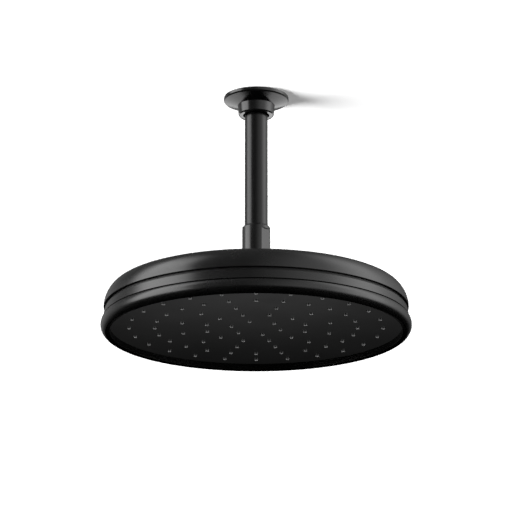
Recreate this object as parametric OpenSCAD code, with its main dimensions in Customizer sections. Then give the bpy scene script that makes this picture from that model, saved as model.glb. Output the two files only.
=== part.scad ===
// Ceiling-mounted rain shower head on a short straight arm.
// Millimetres, +Z up. The origin lies on the arm's axis, in the plane of the finished ceiling.
// Everything below the ceiling has a negative z. The front is -Y.

/* [Arm] */
// Outer diameter of the arm's tube
arm_d = 23; // [22:0.5:28]
// Diameter of the waterway through the arm
arm_bore = 15; // [10:0.5:16]
// Length of tube that shows between the ceiling and the swivel fitting
arm_drop = 136.5; // [60:0.5:400]
// Diameter over the crests of the half-inch pipe thread at each end
thread_d = 20.9; // [20.4:0.1:21.3]
// Length of the upper thread
inlet_thread_l = 18; // [12:0.5:30]
// How far below the ceiling the upper thread starts
inlet_thread_set = 2; // [0:0.5:3]
// Length of the lower thread
outlet_thread_l = 12.5; // [10:0.5:14]
// Chamfer on the ends of both threads
thread_chamfer = 1; // [0.5:0.1:1.5]

/* [Ceiling flange] */
// Outer diameter of the flange
flange_d = 65.6; // [54:0.5:90]
// Overall height of the flange, from the ceiling to the mouth of its neck
flange_h = 19.6; // [17:0.1:30]
// Height of the upright edge that meets the ceiling
flange_edge_h = 4.2; // [2:0.1:5]
// Height over which the flange slopes from its edge to its neck
flange_slope_h = 4.6; // [3:0.1:6]
// Height of the shadow step between the edge and the ceiling
flange_step_h = 1; // [0.5:0.1:1.5]
// Depth of the shadow step
flange_step_w = 0.35; // [0.2:0.05:0.6]
// Round on the flange's lower outer edge
flange_edge_round = 0.6; // [0.3:0.1:1]
// Wall of the flange
flange_wall = 1.6; // [1:0.1:2]
// Outer diameter of the neck at its mouth
neck_mouth_d = 35.6; // [35:0.1:42]
// How much the neck's radius grows from its mouth to its root
neck_taper = 0.9; // [0:0.1:2]
// Wall of the neck at its mouth
neck_wall = 0.9; // [0.7:0.1:1.2]
// Fillet between the slope and the neck
neck_fillet = 1.2; // [0.5:0.1:2]
// Height of the bushing inside the neck
bushing_l = 10.5; // [6:0.5:11]
// Depth of the bushing's lower face inside the mouth
bushing_set = 0.4; // [0.2:0.1:1]
// Cord thickness of the o-ring that grips the tube
grip_cord = 1.8; // [1.4:0.1:2]

/* [Swivel fitting] */
// Outer diameter of the fitting's body
fitting_d = 28; // [27:0.1:34]
// Length of the fitting's body
fitting_l = 29; // [26:0.5:40]
// Distance across the two wrench flats
fitting_flats = 25.5; // [25:0.1:28]
// Turn of the flats from the front, towards +X
flats_turn = 47.5; // [0:0.5:90]
// Distance from the top of the fitting to the flats
flats_start = 5; // [3:0.1:8]
// Height of the chamfer round the top of the fitting
fitting_chamfer = 2.3; // [1:0.1:3]
// Width of the flat that is left on top of the fitting, round the tube
fitting_top_w = 0.3; // [0.2:0.1:1]
// Chamfer round the bottom of the fitting
fitting_edge = 0.8; // [0.4:0.1:1.2]
// Diameter of the ball
ball_d = 22; // [21:0.1:23]
// Diameter of the stem between the body and the ball
stem_d = 13; // [12:0.1:13.4]
// Distance from the body's lower face to the ball's centre
stem_l = 14.5; // [14.5:0.1:18]
// Diameter of the waterway through the ball
ball_bore = 8.4; // [6:0.1:9]
// Depth and width of the flare where the waterway leaves the ball
ball_flare = 2; // [1:0.1:2.5]

/* [Inlet parts] */
// Thickness of the inlet washer
washer_t = 2; // [1.5:0.1:2.5]
// Inner diameter of the inlet washer
washer_bore = 13; // [11:0.5:15]
// Thickness of the filter screen
screen_t = 0.4; // [0.3:0.1:0.6]
// Diameter of each hole in the filter screen
screen_hole = 1.1; // [0.6:0.1:1.3]
// Width of the web between neighbouring rows of holes in the filter screen
screen_web = 0.55; // [0.4:0.05:0.7]
// Rows of holes round the centre of the filter screen
screen_rows = 3; // [1:1:3]
// Diameter of the pocket that holds the flow regulator
pocket_d = 17; // [16:0.1:18]
// Depth of the pocket that holds the flow regulator
pocket_h = 6; // [5.5:0.1:7]
// Height of the flow regulator
regulator_h = 4.4; // [4:0.1:4.8]
// Thickness of the flow regulator's floor
regulator_floor = 2.6; // [1.5:0.1:3]
// Width of the flow regulator's rim
regulator_rim = 2.6; // [1.5:0.1:3]
// Diameter of the post in the middle of the flow regulator
regulator_post_d = 3.4; // [2.6:0.1:4]
// Radius of the ring of jets
regulator_jet_r = 3.6; // [3.2:0.1:4.2]
// Diameter of each jet through the flow regulator
regulator_jet = 1.8; // [1:0.1:2]
// Number of jets through the flow regulator
regulator_jets = 6; // [4:1:8]
// Cord thickness of the regulator's o-ring
regulator_cord = 1.4; // [1:0.1:1.5]

/* [Ball joint] */
// Thickness of the liner round the ball
liner_t = 1.6; // [1.2:0.1:1.8]
// Height of the liner's lower edge above the ball's centre
liner_low = 0.8; // [0.3:0.1:2]
// Height of the liner's upper edge above the ball's centre
liner_high = 8; // [6:0.1:8]
// Outer diameter of the retaining collar
collar_d = 33; // [32:0.1:33]
// Height of the collar's top above the ball's centre
collar_rise = 10; // [9.6:0.1:10]
// Diameter of the collar's upper mouth
collar_mouth = 19.8; // [19.6:0.1:20.4]
// Chamfer round the top of the collar
collar_chamfer = 1.6; // [1.2:0.1:2]
// Number of grip flutes round the collar
flutes = 8; // [6:1:12]
// Diameter of each grip flute
flute_d = 6; // [4:0.5:8]
// Depth of each grip flute
flute_depth = 1.2; // [0.6:0.1:1.3]
// Distance from the end of the flutes to the chamfer above them
flute_stop = 2; // [1:0.1:4]
// Chamfer round the bottom of the collar
collar_edge = 0.6; // [0.3:0.1:1]
// Diameter of the thread that joins the collar to the boss
collar_thread_d = 27; // [26.8:0.1:27.4]
// Depth of the boss's rim below the ball's centre
boss_rim_drop = 4; // [3.5:0.1:4.5]
// Diameter of the recess that holds the ball seal
seal_d = 22.3; // [22:0.1:23]
// Depth of the seal's upper edge below the ball's centre
seal_high = 5.5; // [5:0.1:6]
// Depth of the seal's lower face below the ball's centre
seal_low = 11; // [10.9:0.1:11.4]
// Inner diameter of the seal
seal_bore = 10.4; // [9.6:0.1:10.6]
// Thickness of the ring under the seal
backing_t = 1.5; // [1:0.1:2]
// How much wider the backing ring's hole is than the seal's, on the radius
backing_step = 0.8; // [0.4:0.1:1.2]
// Diameter of the boss's flange
boss_flange_d = 38; // [36:0.5:44]
// Thickness of the boss's flange
boss_flange_t = 3; // [2:0.1:3.2]
// Chamfer on the boss's flange
boss_edge = 0.5; // [0.3:0.1:1]
// Diameter of the waterway through the boss
boss_bore = 12; // [10:0.5:13]
// Length of the boss's thread below its gasket
boss_stem_l = 15; // [10:0.5:18]
// Thickness of the gasket under the boss
gasket_t = 1; // [0.8:0.1:1.5]
// How far the gasket stands in from the edge of the boss's flange
gasket_inset = 0.3; // [0.1:0.1:1]
// Cord thickness of the o-ring between the boss's stem and the hub
hub_cord = 2.2; // [1.6:0.1:2.6]

/* [Head] */
// Overall diameter of the head
head_d = 306.6; // [296:0.2:320]
// Depth of the top of the crown below the ball's centre
crown_drop = 16.6; // [16.5:0.1:22]
// Radius of the shallow dome that the crown follows
crown_r = 1900; // [1500:50:2600]
// Radius of the upper part of the shoulder
shoulder_top_r = 13.9; // [12:0.1:15]
// Radius of the lower part of the shoulder
shoulder_low_r = 24.7; // [22:0.1:27]
// Angle at which the lower part of the shoulder meets the upper part
shoulder_turn = 42; // [35:1:50]
// Height of the straight skirt below the shoulder
shell_skirt_h = 0.3; // [0.2:0.1:2]
// How far the shell's edge stands in from the head's widest line
shell_inset = 2.7; // [1.5:0.1:4]
// Wall of the top shell
shell_wall = 1.6; // [1:0.1:1.8]
// Radius of the flat land under the boss
land_r = 21; // [20.5:0.5:24]
// Depth of the flat land below the top of the crown
land_drop = 0.3; // [0.25:0.05:0.4]

/* [Bands] */
// Width of the dark groove below the shell
groove_w = 2.7; // [2:0.1:5]
// Depth of the dark groove, from the shell's edge
groove_depth = 3.1; // [2.5:0.1:3.6]
// Height of the middle band
mid_h = 8.6; // [6.5:0.1:10]
// How far the middle band's top stands in from the head's widest line
mid_top_inset = 4; // [2.5:0.1:4.3]
// How far the middle band's bottom stands in from the head's widest line
mid_low_inset = 2.2; // [0.5:0.1:3]
// Width of the bands' inner part, from the bottom of the groove inwards
band_w = 7; // [6.6:0.1:7.6]
// Round on the bands' visible edges
band_edge = 0.3; // [0.2:0.1:0.5]
// Height of the lip that centres the shell on the spacer
lip_h = 1.6; // [1:0.1:2]
// Height and width of the slope above that lip
lip_slope = 1.8; // [1:0.1:2]
// Width of the seam between the middle band and the rim
seam_w = 1; // [0.6:0.1:1.5]
// Depth of the seam, from the head's widest line
seam_depth = 4.6; // [4.5:0.1:4.75]
// Radius of the rim's round bead
bead_r = 9.1; // [8.5:0.1:11]
// Depth of the bead's widest line below the rim's top
bead_drop = 5.6; // [4.5:0.1:6.5]
// Angle that the bead turns below its widest line
bead_turn = 62; // [50:1:70]
// Round between the bead and the rim's lower face
bead_low_edge = 1.5; // [0.5:0.1:2]
// Rise of the rim's lower face towards its inner edge
rim_lip_rise = 1.3; // [0.5:0.1:2]
// Round on the rim's inner edge
rim_in_edge = 0.4; // [0.2:0.1:0.8]
// Width of the ledge that carries the face plate
ledge_w = 4.2; // [3:0.1:4.4]

/* [Spray face] */
// Depth of the face plate's outer surface below the rim's top
face_drop = 6.4; // [6:0.1:8]
// Thickness of the face plate
face_t = 1.8; // [1.5:0.1:2]
// Distance between the outer ring of nozzles and the wall of the water chamber
nozzle_margin = 4.35; // [3.6:0.05:6]
// Diameter of a nozzle at the mat
nozzle_root_d = 4.8; // [4:0.1:5.4]
// Diameter of a nozzle at its tip
nozzle_tip_d = 3.8; // [2.6:0.1:4]
// How far each nozzle stands out of the face plate
nozzle_proud = 1.5; // [0.6:0.1:3]
// Diameter of the jet through each nozzle
jet_d = 1.1; // [0.8:0.1:1.5]
// Thickness of the nozzle mat
mat_t = 2; // [1.5:0.1:2.4]
// Thickness of the middle band's leg round the mat
leg_t = 1.7; // [1.4:0.1:2]
// Inner height of the water chamber
chamber_h = 6; // [4:0.1:6.2]
// Width of the chamber's foot, which clamps the mat round the water
chamber_foot_w = 17; // [16:0.1:18]
// Thickness of the water chamber's roof
chamber_roof_t = 2.5; // [2:0.1:4]
// Outer diameter of the chamber's hub
hub_d = 32; // [30:0.5:38]
// Diameter of the hole from the hub into the chamber
hub_bore = 16; // [14:0.5:18]
// Depth of the hub's thread below the end of the boss's stem
hub_spare = 2; // [1:0.5:4]
// Number of ribs on the chamber's roof
ribs = 12; // [6:1:18]
// Thickness of each rib
rib_t = 2; // [1.5:0.1:4]
// Height of each rib at the hub
rib_hub_h = 18; // [10:0.5:20]
// Distance from the hub to the rib's knee
rib_knee_w = 14; // [8:0.5:30]
// Height of each rib at its knee
rib_knee_h = 10.8; // [6:0.1:12]
// Height of each rib at its outer end
rib_end_h = 3; // [2:0.1:5]

/* [Screws] */
// Number of screws that close the water chamber
chamber_screw_count = 12; // [8:1:16]
// Wall between the water chamber and the seats of its screws
chamber_screw_wall = 1.4; // [1:0.1:2]
// Number of screws that join the bands
ring_screw_count = 8; // [6:1:16]
// Diameter of a screw's shank
screw_d = 3; // [2.5:0.1:3.2]
// Diameter of a screw's head
screw_head_d = 5.6; // [5:0.1:6]
// Height of a screw's head
screw_head_h = 2.2; // [1.6:0.1:2.4]
// Width of the cross recess in a screw's head
cross_w = 0.8; // [0.6:0.1:1]
// Length of the cross recess
cross_l = 3.1; // [2:0.1:3.5]
// Depth of the cross recess
cross_depth = 1; // [0.6:0.1:1.3]
// Diameter of the face plate's screw bosses
screw_boss_d = 6; // [5.4:0.1:6.4]
// Height of the screw bosses above the nozzle mat
screw_boss_rise = 1.6; // [1:0.1:2.4]
// Depth of the chamber screws' blind holes in the face plate
blind_depth = 1; // [0.6:0.1:1.2]
// Thickness left under the ring screws' blind holes in the middle band
blind_floor = 0.8; // [0.5:0.1:1.5]
// Space between a screw's tip and the end of its hole
tip_gap = 0.35; // [0.2:0.05:0.5]
// Gap between a screw's head and the wall of its seat
head_gap = 0.4; // [0.3:0.1:0.6]

/* [Fits] */
// Gap between a thread and its socket, on the radius
thread_gap = 0.2; // [0.1:0.05:0.3]
// Gap between a screw's shank and the hole that it passes through, on the radius
pass_gap = 0.2; // [0.1:0.05:0.3]
// Gap between a screw's shank and the hole that it cuts its thread in, on the radius
tap_gap = 0.1; // [0.05:0.05:0.15]
// Gap between the chamber's foot and the middle band
foot_gap = 1; // [0.5:0.1:1.5]
// Gap round a piece that lies loose in its seat, on the radius
seat_gap = 0.15; // [0.1:0.05:0.25]
// Gap on each side of the ball's liner and between ball and seal
ball_gap = 0.25; // [0.15:0.05:0.3]
// Gap on each side of the grip o-ring
grip_gap = 0.05; // [0.02:0.01:0.1]
// Gap between the bushing's upper bore and the tube
guide_gap = 0.4; // [0.3:0.05:0.6]
// Gap between a nozzle and its hole in the face plate
nozzle_gap = 0.15; // [0.1:0.05:0.2]
// Axial play between neighbours that are not clamped
play = 0.2; // [0.1:0.05:0.3]

/* [Hidden] */
$fn = 96;
eps = 1;

// Rings of nozzles from the centre outwards: how many, and the turn of the first from the front.
NOZZLE_RINGS = [[6, -15], [12, 15], [12, 15], [24, 0], [24, 0]];

// Levels of the arm and the swivel fitting.
z_fitting_top = -arm_drop;
z_arm_end = z_fitting_top - outlet_thread_l;
z_screen_low = z_arm_end - screen_t;
z_washer_low = z_screen_low - washer_t;
z_pocket_low = z_washer_low - pocket_h;
z_fitting_low = z_fitting_top - fitting_l;
z_ball = z_fitting_low - stem_l;

// Levels of the ball joint.
z_collar_top = z_ball + collar_rise;
z_boss_rim = z_ball - boss_rim_drop;
z_backing_low = z_ball - seal_low - backing_t;
z_crown = z_ball - crown_drop;
z_land = z_crown - land_drop;
z_gasket_top = z_land + gasket_t;
z_flange_top = z_gasket_top + boss_flange_t;
z_stem_end = z_gasket_top - boss_stem_l;
z_hub_top = z_crown - shell_wall - play;

// Radii of the ball joint.
ball_r = ball_d / 2;
liner_in_r = ball_r + ball_gap;
liner_out_r = liner_in_r + liner_t;
collar_seat_r = liner_out_r + ball_gap;
collar_thread_r = collar_thread_d / 2 + thread_gap;

// The head's outline: a shallow crown and a shoulder of two arcs that meet without a crease.
head_r = head_d / 2;
shell_r = head_r - shell_inset;
crown_centre = [0, z_crown - crown_r];
shoulder_x = shell_r - shoulder_low_r + (shoulder_low_r - shoulder_top_r) * cos(shoulder_turn);
shoulder_reach = crown_r - shoulder_top_r;
shoulder_top_centre = [
    shoulder_x,
    crown_centre.y + sqrt(shoulder_reach * shoulder_reach - shoulder_x * shoulder_x)
];
shoulder_low_centre = shoulder_top_centre
    - (shoulder_low_r - shoulder_top_r) * [cos(shoulder_turn), sin(shoulder_turn)];
crown_end_angle = acos(shoulder_x / shoulder_reach);

// Levels of the bands, from the shell's edge down.
z_shell_low = shoulder_low_centre.y - shell_skirt_h;
z_mid_top = z_shell_low - groove_w;
z_mid_low = z_mid_top - mid_h;
z_rim_top = z_mid_low - seam_w;
z_face = z_rim_top - face_drop;
z_face_top = z_face + face_t;
z_mat_top = z_face_top + mat_t;
z_chamber_top = z_mat_top + chamber_h;
z_roof_top = z_chamber_top + chamber_roof_t;
z_nozzle_tip = z_face - nozzle_proud;
z_bead = z_rim_top - bead_drop;
z_rim_low = z_bead - bead_r * sin(bead_turn);

// Radii of the bands.
groove_r = shell_r - groove_depth;
seam_r = head_r - seam_depth;
band_in_r = groove_r - band_w;
rim_in_r = head_r - bead_r;
pocket_r = rim_in_r + ledge_w;
plate_r = pocket_r - thread_gap;
mat_r = plate_r - leg_t - seat_gap;
chamber_r = mat_r - chamber_foot_w;
z_lip_low = z_shell_low + play;
z_lip_top = z_lip_low + lip_h;
z_spacer_top = z_lip_top + lip_slope;

// Distance between the rings of nozzles, which fill the water chamber's width.
nozzle_pitch = (chamber_r - nozzle_margin) / len(NOZZLE_RINGS);

// Screws and their holes.
shank_r = screw_d / 2;
tap_r = shank_r + tap_gap;
pass_r = shank_r + pass_gap;
boss_r = screw_boss_d / 2;
head_seat_r = screw_head_d / 2 + head_gap;
chamber_screw_r = chamber_r + chamber_screw_wall + head_seat_r;
ring_screw_r = (band_in_r + groove_r) / 2;
z_boss_top = z_mat_top + screw_boss_rise;
z_chamber_blind = z_face_top - blind_depth;
z_ring_blind = z_chamber_top + blind_floor;

// Finishes.
coat = "#242426";
coat_low = "#1b1b1d";
brass = "#b5985a";
black_rubber = "#101011";
silicone = "#6f7072";
white_plastic = "#d8d8d4";
steel = "#a8abad";

// Points along an arc, from one angle to the other.
function arc(centre, r, from, to, steps) =
    [for (i = [0:steps]) let (a = from + (to - from) * i / steps) centre + r * [cos(a), sin(a)]];

// An angle's equal between -180 and 180.
function half_turn(a) = a - 360 * round(a / 360);

// Points of the round that replaces the corner b on the way from a to c.
function rounded(a, b, c, r) =
    let (
        u = (a - b) / norm(a - b),
        v = (c - b) / norm(c - b),
        half = acos(u * v) / 2,
        centre = b + (u + v) / norm(u + v) * r / sin(half),
        start = b + u * r / tan(half) - centre,
        end = b + v * r / tan(half) - centre,
        from = atan2(start.y, start.x)
    ) arc(centre, r, from, from + half_turn(atan2(end.y, end.x) - from), 3);

// The shell's curve at a depth below its outer face, from a start radius out to its lower edge.
function shell_curve(depth, start_r) = concat(
    arc(crown_centre, crown_r - depth, acos(start_r / (crown_r - depth)), crown_end_angle, 6),
    arc(shoulder_top_centre, shoulder_top_r - depth, crown_end_angle, shoulder_turn, 9),
    arc(shoulder_low_centre, shoulder_low_r - depth, shoulder_turn, 0, 9),
    [[shell_r - depth, z_shell_low]]
);

function reversed(list) = [for (i = [len(list) - 1:-1:0]) list[i]];

// A ring of square section between two radii and two levels.
module ring(out_r, in_r, low, high) {
    rotate_extrude() translate([in_r, low]) square([out_r - in_r, high - low]);
}

// A round hole or pin between two levels.
module peg(r, low, high) {
    translate([0, 0, low]) cylinder(r = r, h = high - low);
}

// Copies evenly spaced round the axis, the first at the front.
module around(count, r, first = 0) {
    for (i = [0:count - 1]) rotate([0, 0, first - 90 + i * 360 / count]) translate([r, 0, 0]) children();
}

// One copy at each nozzle.
module at_nozzles() {
    for (i = [0:len(NOZZLE_RINGS) - 1]) {
        around(NOZZLE_RINGS[i][0], (i + 1) * nozzle_pitch, NOZZLE_RINGS[i][1]) children();
    }
}

// A screw from the seat under its head down to its tip, with a cross recess in the head.
module screw(seat, tip) {
    top = seat + screw_head_h;
    difference() {
        union() {
            peg(screw_head_d / 2, seat, top);
            peg(shank_r, tip, seat);
        }
        for (turn = [0, 90]) {
            rotate([0, 0, turn]) translate([-cross_l / 2, -cross_w / 2, top - cross_depth])
                cube([cross_l, cross_w, cross_depth + eps]);
        }
    }
}

// Straight tube with a turned-down thread at each end.
module shower_arm() {
    tube_r = arm_d / 2;
    thread_r = thread_d / 2;
    top = inlet_thread_l - inlet_thread_set;
    color(coat) rotate_extrude() polygon([
        [arm_bore / 2, z_arm_end], [thread_r - thread_chamfer, z_arm_end],
        [thread_r, z_arm_end + thread_chamfer], [thread_r, z_fitting_top],
        [tube_r, z_fitting_top], [tube_r, -inlet_thread_set - thread_chamfer],
        [thread_r, -inlet_thread_set], [thread_r, top - thread_chamfer],
        [thread_r - thread_chamfer, top], [arm_bore / 2, top]
    ]);
}

// Female-threaded body with two wrench flats, a stem and a ball, in one turned piece.
module swivel_fitting() {
    body_r = fitting_d / 2;
    socket_r = thread_d / 2 + thread_gap;
    cut = body_r * 2;
    color(coat) difference() {
        union() {
            rotate_extrude() polygon([
                [0, z_ball], [stem_d / 2, z_ball], [stem_d / 2, z_fitting_low],
                [body_r - fitting_edge, z_fitting_low], [body_r, z_fitting_low + fitting_edge],
                [body_r, z_fitting_top - fitting_chamfer],
                [arm_d / 2 + fitting_top_w, z_fitting_top], [0, z_fitting_top]
            ]);
            translate([0, 0, z_ball]) sphere(r = ball_r);
        }
        peg(socket_r, z_washer_low, z_fitting_top + eps);
        peg(pocket_d / 2, z_pocket_low, z_washer_low + eps);
        peg(ball_bore / 2, z_ball - ball_r - eps, z_pocket_low + eps);
        translate([0, 0, z_ball - ball_r])
            cylinder(r1 = ball_bore / 2 + ball_flare, r2 = ball_bore / 2, h = ball_flare);
        for (side = [0, 180]) {
            rotate([0, 0, flats_turn - 90 + side])
                translate([fitting_flats / 2, -cut / 2, z_fitting_low - eps])
                    cube([cut, cut, fitting_l - flats_start + eps]);
        }
    }
}

// Flat rubber washer that seals the arm's end in the fitting.
module inlet_washer() {
    color(black_rubber) ring(thread_d / 2 - seat_gap, washer_bore / 2, z_washer_low, z_screen_low);
}

// Perforated disc clamped between the arm and the washer.
module filter_screen() {
    pitch = screen_hole + screen_web;
    color(steel) difference() {
        peg(thread_d / 2 - seat_gap, z_screen_low, z_arm_end);
        peg(screen_hole / 2, z_screen_low - eps, z_arm_end + eps);
        for (row = [1:screen_rows]) {
            around(row * 6, row * pitch) peg(screen_hole / 2, z_screen_low - eps, z_arm_end + eps);
        }
    }
}

// Disc with a ring of jets and a centre post.
module flow_regulator() {
    body_r = pocket_d / 2 - seat_gap;
    color(white_plastic) difference() {
        union() {
            peg(body_r, z_pocket_low, z_pocket_low + regulator_floor);
            ring(body_r, body_r - regulator_rim, z_pocket_low, z_pocket_low + regulator_h);
            peg(regulator_post_d / 2, z_pocket_low, z_pocket_low + regulator_h);
        }
        around(regulator_jets, regulator_jet_r)
            peg(regulator_jet / 2, z_pocket_low - eps, z_pocket_low + regulator_h);
    }
}

// O-ring that lies on the flow regulator.
module regulator_o_ring() {
    cord_r = regulator_cord / 2;
    color(black_rubber) rotate_extrude()
        translate([pocket_d / 2 - seat_gap - cord_r, z_pocket_low + regulator_h + cord_r + grip_gap])
            circle(r = cord_r, $fn = 32);
}

// O-ring that grips the tube and holds the flange up.
module grip_o_ring() {
    cord_r = grip_cord / 2 - grip_gap;
    color(black_rubber) rotate_extrude()
        translate([arm_d / 2 + grip_cord / 2, -flange_h + bushing_set + grip_cord / 2])
            circle(r = cord_r, $fn = 32);
}

// Cup against the ceiling, with a tapered neck round the tube.
module ceiling_flange() {
    edge_r = flange_d / 2;
    step_r = edge_r - flange_step_w;
    in_r = neck_mouth_d / 2 - neck_wall;
    z_root = -flange_edge_h - flange_slope_h;
    mouth = [neck_mouth_d / 2, -flange_h];
    root = [mouth.x + neck_taper, z_root];
    edge = [edge_r, -flange_edge_h];
    color(coat) rotate_extrude() polygon(concat(
        [
            [edge_r - flange_wall, 0], [edge_r - flange_wall, -flange_edge_h + flange_wall],
            [in_r, z_root + flange_wall], [in_r, -flange_h]
        ],
        rounded([in_r, -flange_h], mouth, root, band_edge),
        rounded(mouth, root, edge, neck_fillet),
        rounded(root, edge, [edge_r, 0], flange_edge_round),
        [[edge_r, -flange_step_h], [step_r, -flange_step_h], [step_r, 0]]
    ));
}

// Pale ring that fills the neck, guides the tube and seats the grip o-ring.
module flange_bushing() {
    out_r = neck_mouth_d / 2 - neck_wall - seat_gap;
    low = -flange_h + bushing_set;
    seat_top = low + grip_cord + play;
    color(coat_low) rotate_extrude() polygon([
        [out_r, low], [out_r, low + bushing_l],
        [arm_d / 2 + guide_gap, low + bushing_l], [arm_d / 2 + guide_gap, seat_top],
        [arm_d / 2 + grip_cord, seat_top], [arm_d / 2 + grip_cord, low]
    ]);
}

// Zone of a hollow sphere between the ball and the collar's seat.
module ball_liner() {
    color(white_plastic) translate([0, 0, z_ball]) rotate_extrude() intersection() {
        difference() {
            circle(r = liner_out_r);
            circle(r = liner_in_r);
        }
        translate([1, liner_low]) square([liner_out_r, liner_high - liner_low]);
    }
}

// Fluted collar that holds the ball down on its seal.
module retaining_collar() {
    low = z_flange_top + play;
    out_r = collar_d / 2;
    flute_x = out_r - flute_depth + flute_d / 2;
    color(coat) difference() {
        rotate_extrude() difference() {
            polygon([
                [collar_mouth / 2, low], [out_r - collar_edge, low], [out_r, low + collar_edge],
                [out_r, z_collar_top - collar_chamfer],
                [out_r - collar_chamfer, z_collar_top], [collar_mouth / 2, z_collar_top]
            ]);
            translate([0, z_ball]) circle(r = collar_seat_r);
            translate([0, z_boss_rim]) square([collar_seat_r, boss_rim_drop]);
            translate([0, low - eps]) square([collar_thread_r, z_boss_rim + play - low + eps]);
        }
        around(flutes, flute_x)
            peg(flute_d / 2, low - eps, z_collar_top - collar_chamfer - flute_stop);
    }
}

// Rubber seal, dished to the ball.
module ball_seal() {
    color(black_rubber) rotate_extrude() difference() {
        translate([seal_bore / 2, z_ball - seal_low])
            square([seal_d / 2 - seat_gap - seal_bore / 2, seal_low - seal_high]);
        translate([0, z_ball]) circle(r = ball_r + ball_gap);
    }
}

// Stiff ring that carries the seal.
module backing_ring() {
    color(white_plastic)
        ring(seal_d / 2 - seat_gap, seal_bore / 2 + backing_step, z_backing_low, z_ball - seal_low);
}

// Threaded boss on the crown, with the seal's recess above and a stem into the chamber's hub.
module inlet_boss() {
    thread_r = collar_thread_d / 2;
    color(brass) rotate_extrude() polygon([
        [boss_bore / 2, z_stem_end], [thread_d / 2 - thread_chamfer, z_stem_end],
        [thread_d / 2, z_stem_end + thread_chamfer], [thread_d / 2, z_gasket_top],
        [boss_flange_d / 2, z_gasket_top], [boss_flange_d / 2, z_flange_top - boss_edge],
        [boss_flange_d / 2 - boss_edge, z_flange_top], [thread_r, z_flange_top],
        [thread_r, z_boss_rim], [seal_d / 2, z_boss_rim], [seal_d / 2, z_backing_low],
        [boss_bore / 2, z_backing_low]
    ]);
}

// Flat gasket between the boss and the crown.
module boss_gasket() {
    color(black_rubber)
        ring(boss_flange_d / 2 - gasket_inset, thread_d / 2 + thread_gap, z_land, z_gasket_top);
}

// O-ring between the boss's stem and the top of the hub.
module hub_o_ring() {
    cord_r = hub_cord / 2;
    color(black_rubber) rotate_extrude()
        translate([thread_d / 2 + seat_gap + cord_r, z_hub_top - play / 2 - cord_r])
            circle(r = cord_r, $fn = 32);
}

// Thin dished shell that closes the head from above.
module top_shell() {
    hole_r = thread_d / 2 + thread_gap;
    color(coat) difference() {
        rotate_extrude() polygon(concat(
            shell_curve(0, hole_r), reversed(shell_curve(shell_wall, hole_r))
        ));
        peg(land_r, z_land, z_crown + eps);
    }
}

// Dark ring at the bottom of the groove, with a lip that centres the shell.
module spacer_ring() {
    lip_r = shell_r - shell_wall - thread_gap;
    color(coat_low) difference() {
        rotate_extrude() polygon([
            [band_in_r, z_mid_top], [groove_r, z_mid_top], [groove_r, z_lip_low],
            [lip_r, z_lip_low], [lip_r, z_lip_top],
            [lip_r - lip_slope, z_spacer_top], [band_in_r, z_spacer_top]
        ]);
        around(ring_screw_count, ring_screw_r) peg(pass_r, z_mid_top - eps, z_spacer_top + eps);
    }
}

// Flared band with a leg that screws into the rim and clamps the face plate.
module mid_ring() {
    leg_in_r = plate_r - leg_t;
    top = [head_r - mid_top_inset, z_mid_top];
    low = [head_r - mid_low_inset, z_mid_low];
    color(coat) difference() {
        rotate_extrude() polygon(concat(
            [[band_in_r, z_mid_top]],
            rounded([band_in_r, z_mid_top], top, low, band_edge),
            rounded(top, low, [seam_r, z_mid_low], band_edge),
            [
                [seam_r, z_mid_low], [seam_r, z_rim_top], [plate_r, z_rim_top],
                [plate_r, z_face_top], [leg_in_r, z_face_top], [leg_in_r, z_chamber_top],
                [band_in_r, z_chamber_top]
            ]
        ));
        around(ring_screw_count, ring_screw_r) peg(tap_r, z_ring_blind, z_mid_top + eps);
    }
}

// Outer rim: a round bead, a shallow lip underneath and a ledge for the face plate.
module rim_ring() {
    steps = 14;
    bead = arc([rim_in_r, z_bead], bead_r, asin(bead_drop / bead_r), -bead_turn, steps);
    in_low = [rim_in_r, z_rim_low + rim_lip_rise];
    color(coat) rotate_extrude() polygon(concat(
        [[pocket_r, z_rim_top]],
        rounded([pocket_r, z_rim_top], bead[0], bead[1], band_edge),
        [for (i = [1:steps - 1]) bead[i]],
        rounded(bead[steps - 1], bead[steps], in_low, bead_low_edge),
        rounded(bead[steps], in_low, [rim_in_r, z_face], rim_in_edge),
        [[rim_in_r, z_face], [pocket_r, z_face]]
    ));
}

// Ribbed cover that forms the water chamber, with a threaded hub for the boss.
module chamber_back() {
    hub_r = hub_d / 2;
    groove_out_r = thread_d / 2 + 2 * seat_gap + hub_cord;
    socket_r = thread_d / 2 + thread_gap;
    z_groove_low = z_hub_top - play - hub_cord;
    z_socket_low = z_stem_end - hub_spare;
    color(white_plastic) difference() {
        union() {
            rotate_extrude() polygon([
                [hub_bore / 2, z_chamber_top], [chamber_r, z_chamber_top],
                [chamber_r, z_mat_top], [mat_r, z_mat_top], [mat_r, z_chamber_top],
                [band_in_r - foot_gap, z_chamber_top], [chamber_r, z_roof_top],
                [hub_r, z_roof_top], [hub_r, z_hub_top], [groove_out_r, z_hub_top],
                [groove_out_r, z_groove_low], [socket_r, z_groove_low],
                [socket_r, z_socket_low], [hub_bore / 2, z_socket_low]
            ]);
            around(ribs, 0, 180 / ribs) rotate([90, 0, 0])
                translate([0, 0, -rib_t / 2]) linear_extrude(rib_t) polygon([
                    [hub_r - eps, z_roof_top - eps], [chamber_r - eps, z_roof_top - eps],
                    [chamber_r - eps, z_roof_top + rib_end_h],
                    [hub_r + rib_knee_w, z_roof_top + rib_knee_h],
                    [hub_r - eps, z_roof_top + rib_hub_h]
                ]);
        }
        around(chamber_screw_count, chamber_screw_r) {
            peg(pass_r, z_mat_top - eps, z_roof_top + eps);
            peg(head_seat_r, z_chamber_top, z_roof_top + eps);
            peg(boss_r + thread_gap, z_mat_top - eps, z_boss_top + play);
        }
    }
}

// Screws that pull the chamber down on the nozzle mat.
module chamber_screws() {
    color(steel) around(chamber_screw_count, chamber_screw_r)
        screw(z_chamber_top, z_chamber_blind + tip_gap);
}

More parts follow.
